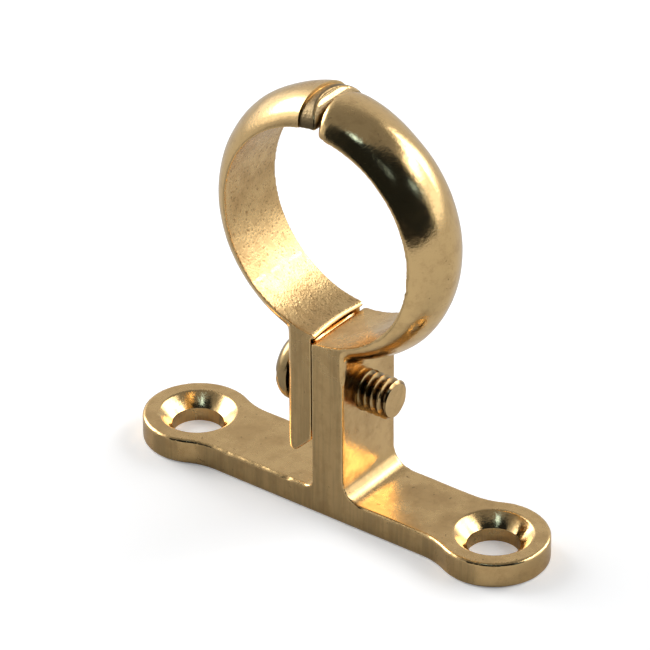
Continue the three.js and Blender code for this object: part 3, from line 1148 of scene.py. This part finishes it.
# ------------------------------------------------------------------------------ studio


def direction_mask(t, azimuth, elevation, span, rise, soft):
    """A soft-edged window in the sky between two azimuths and two elevations, in degrees."""
    parts = [
        t.ramp(azimuth, span[0] - soft, span[0] + soft),
        t.ramp(azimuth, span[1] + soft, span[1] - soft),
        t.ramp(elevation, rise[0] - soft, rise[0] + soft),
        t.ramp(elevation, rise[1] + soft, rise[1] - soft),
    ]
    whole = parts[0]
    for part in parts[1:]:
        whole = t.math("MULTIPLY", whole, part)
    return whole


def sky_spot(t, direction, azimuth, elevation, radius, soft):
    """A round spot in the sky, in degrees."""
    across, up = math.radians(azimuth), math.radians(elevation)
    centre = (math.sin(across) * math.cos(up), -math.cos(across) * math.cos(up), math.sin(up))
    node = t.add("ShaderNodeVectorMath", operation="DOT_PRODUCT")
    t.join(direction, node.inputs[0])
    node.inputs[1].default_value = centre
    edge = math.cos(math.radians(radius + soft))
    core = math.cos(math.radians(max(radius - soft, 0)))
    return t.ramp(node.outputs["Value"], edge, core)


# The tent's brightness, and the elevations between which its wall fades into its top
TENT_WALL = 0.58
TENT_TOP = 0.22
TENT_FRONT = 0.018
WALL_FADE = (36, 54)
LEFT_LIGHT = 5.0
LEFT_HALO = 0.8
RIGHT_LIGHT = 3.6
RIGHT_HALO = 0.85

# Round lights: azimuth, elevation, radius and softness in degrees
LEFT_SPOT = (-86, 31, 18, 7)
LEFT_HALO_SPOT = (-86, 22, 34, 9)
GLINT_SOFT = 2

# Windows in the tent: spans of azimuth and elevation, and softness in degrees
RIGHT_UPPER = ((106, 150), (36, 50), 6)
RIGHT_LOWER = ((146, 171), (12, 42), 7)
RIGHT_AROUND = ((100, 172), (4, 52), 7)
FRONT_OPENING = ((-30, 97), (-30, 64), 4)
OPENING_TINT = (0.7, 0.88, 1, 1)
GLINT_TINT = (0.42, 0.68, 1, 1)

# Each window's azimuth, elevation and radius in degrees, and its strength
WINDOW_GLINTS = ((14, 65, 4, 3.0), (47, 45, 4, 0.45), (86, 34, 3.5, 1.0), (97, 26, 2.5, 0.5))

FLOOR_SIZE = 4000
FLOOR_SEEN = 0.97
FLOOR_REFLECTED = 0.58
ROOM_FLOOR = (0.02, 0.02, 0.02, 1)
FLOOR_GLOW = 0.22
CARD_FRONT = -0.14
CARD_SLANT = 0.6
CARD_SOFT = 0.03


def light_tent():
    """A white tent lit from both sides, open to a dark room at the front."""
    world = bpy.data.worlds.new("light_tent")
    bpy.context.scene.world = world
    world.use_nodes = True
    t = Tree(world.node_tree)
    world.node_tree.nodes.clear()
    direction = t.add("ShaderNodeTexCoord").outputs["Generated"]
    split = t.add("ShaderNodeSeparateXYZ")
    t.join(direction, split.inputs[0])
    x, y, z = split.outputs
    to_degrees = math.degrees(1)
    front = t.math("MULTIPLY", t.math("ARCTAN2", x, t.math("MULTIPLY", y, -1.0)), to_degrees)
    height = t.math("MULTIPLY", t.math("ARCSINE", z), to_degrees)

    left = t.math("MULTIPLY", sky_spot(t, direction, *LEFT_SPOT), LEFT_LIGHT)
    left = t.plus(left, sky_spot(t, direction, *LEFT_HALO_SPOT), LEFT_HALO)
    upper = direction_mask(t, front, height, *RIGHT_UPPER)
    lower = direction_mask(t, front, height, *RIGHT_LOWER)
    right = t.math("MULTIPLY", t.math("MAXIMUM", upper, lower), RIGHT_LIGHT)
    halo = direction_mask(t, front, height, *RIGHT_AROUND)
    right = t.plus(right, halo, RIGHT_HALO)
    wall = t.ramp(height, *WALL_FADE, TENT_WALL, TENT_TOP)
    total = t.math("ADD", t.math("ADD", left, right), wall)
    opening = direction_mask(t, front, height, *FRONT_OPENING)
    total = t.math("MULTIPLY", total, t.math("SUBTRACT", 1.0, opening))
    total = t.plus(total, opening, TENT_FRONT)
    glints = 0.0
    for azimuth, elevation, radius, strength in WINDOW_GLINTS:
        spot = sky_spot(t, direction, azimuth, elevation, radius, GLINT_SOFT)
        glints = t.plus(glints, spot, strength)
    total = t.math("ADD", total, glints)

    lit = t.add("ShaderNodeBackground")
    t.join(total, lit.inputs["Strength"])
    tint = t.mix(opening, (1, 1, 1, 1), OPENING_TINT)
    t.join(t.mix(t.ramp(glints, 0.0, 0.3), tint, GLINT_TINT), lit.inputs["Color"])
    seen = t.add("ShaderNodeBackground")
    seen.inputs["Strength"].default_value = 1.0
    seen.inputs["Color"].default_value = (1, 1, 1, 1)
    path = t.add("ShaderNodeLightPath")
    chosen = t.add("ShaderNodeMixShader")
    t.join(path.outputs["Is Camera Ray"], chosen.inputs[0])
    t.join(lit.outputs[0], chosen.inputs[1])
    t.join(seen.outputs[0], chosen.inputs[2])
    t.join(chosen.outputs[0], t.add("ShaderNodeOutputWorld").inputs["Surface"])


def pale_floor():
    """A plain white card under the bracket. Reflections see the dark room past its front."""
    bm = bmesh.new()
    bmesh.ops.create_grid(bm, x_segments=1, y_segments=1, size=FLOOR_SIZE)
    floor = piece_from(bm, "floor")
    floor.data.transform(Matrix.Scale(MM, 4))
    material = bpy.data.materials.new("white_card")
    material.use_nodes = True
    t = Tree(material.node_tree)
    shader = material.node_tree.nodes["Principled BSDF"]
    shader.inputs["Roughness"].default_value = 1.0
    shader.inputs["Specular IOR Level"].default_value = 0.0
    path = t.add("ShaderNodeLightPath")
    shader.inputs["Emission Color"].default_value = (1, 1, 1, 1)
    glow = t.math("MULTIPLY", path.outputs["Is Camera Ray"], FLOOR_GLOW)
    t.join(glow, shader.inputs["Emission Strength"])
    split = t.add("ShaderNodeSeparateXYZ")
    t.join(t.add("ShaderNodeTexCoord").outputs["Object"], split.inputs[0])
    card = t.ramp(split.outputs["Y"], CARD_FRONT - CARD_SOFT, CARD_FRONT + CARD_SOFT)
    slanted = t.math("MULTIPLY", split.outputs["Y"], CARD_SLANT)
    leftwards = t.math("SUBTRACT", split.outputs["X"], slanted)
    card = t.math("MAXIMUM", card, t.ramp(leftwards, CARD_SOFT, -CARD_SOFT))
    mirrored = t.mix(card, ROOM_FLOOR, (FLOOR_REFLECTED,) * 3 + (1,))
    tone = t.mix(path.outputs["Is Glossy Ray"], (FLOOR_SEEN,) * 3 + (1,), mirrored)
    t.join(tone, shader.inputs["Base Color"])
    floor.data.materials.append(material)


CAMERA_AZIMUTH = 37.2
CAMERA_ELEVATION = 31.59
CAMERA_ROLL = -0.33
CAMERA_DISTANCE = 573.6
CAMERA_AIM = Vector((-1.44, -1.53, 24.44))
CAMERA_LENS = 265.85


def camera():
    """A long lens at the bracket's front right."""
    data = bpy.data.cameras.new("camera")
    data.lens = CAMERA_LENS
    data.sensor_width = 36
    data.clip_end = 20
    made = bpy.data.objects.new("camera", data)
    bpy.context.scene.collection.objects.link(made)
    across, up = math.radians(CAMERA_AZIMUTH), math.radians(CAMERA_ELEVATION)
    back = Vector((math.sin(across) * math.cos(up), -math.cos(across) * math.cos(up), math.sin(up)))
    turn = back.to_track_quat("Z", "Y").to_matrix().to_4x4()
    place = Matrix.Translation((CAMERA_AIM + back * CAMERA_DISTANCE) * MM)
    made.matrix_world = place @ turn @ Matrix.Rotation(math.radians(CAMERA_ROLL), 4, "Z")
    bpy.context.scene.camera = made


# ---------------------------------------------------------------------------- assembly


def fit(piece, material, node, body):
    """Gives a piece its material and lets it stand for its node."""
    piece.data.materials.clear()
    piece.data.materials.append(material)
    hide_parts(node)
    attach(piece, body)


camera()
fit(bracket_casting(), casting_material("cast_brass_finish", FIXED_CENTRE, 0.15, 0.8),
    "bracket_base", "bracket")
fit(clamp_jaw(), casting_material("jaw_brass_finish", JAW_CENTRE, 0.9, 0.6, DOME_END),
    "clamp_jaw", "jaw")
fit(clamp_screw(), screw_material(), "clamp_screw", "screw")
pale_floor()
light_tent()
bpy.context.scene.view_settings.view_transform = "Standard"
